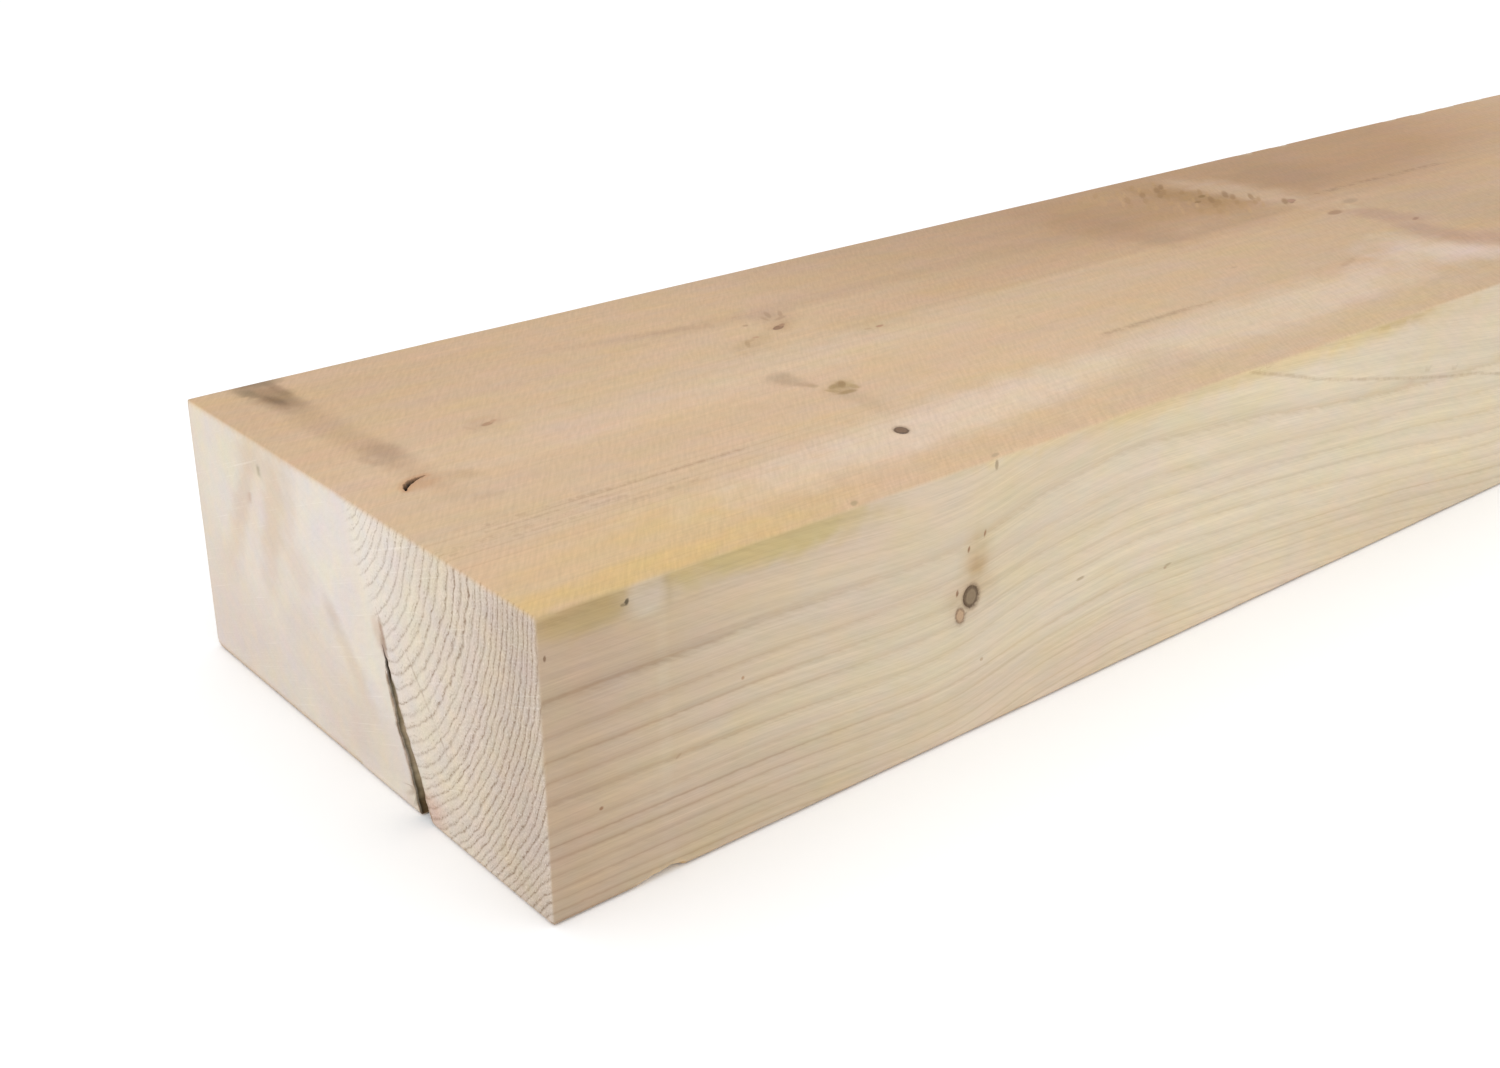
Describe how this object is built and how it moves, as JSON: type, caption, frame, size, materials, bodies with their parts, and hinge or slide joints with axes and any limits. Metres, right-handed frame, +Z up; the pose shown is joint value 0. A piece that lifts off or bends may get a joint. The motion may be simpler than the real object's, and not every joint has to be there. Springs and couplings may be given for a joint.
{
  "type": "timber plank",
  "caption": "Heavy sawn softwood plank with a rectangular section, square-cut ends, an open drying crack in an end and a small chip in a lower edge.",
  "frame": {"origin": "centre of the underside, the wide face that the plank lies on", "axes": "+X along the grain, away from the end with the open crack; +Y across the width, away from the narrow face with the dark knot; +Z up through the thickness"},
  "size_m": [2.4, 0.175, 0.075],
  "materials": {
    "wood": "fine-sawn, dry, untreated"
  },
  "bodies": {
    "root": {"plank": "wood"}
  },
  "joints": []
}
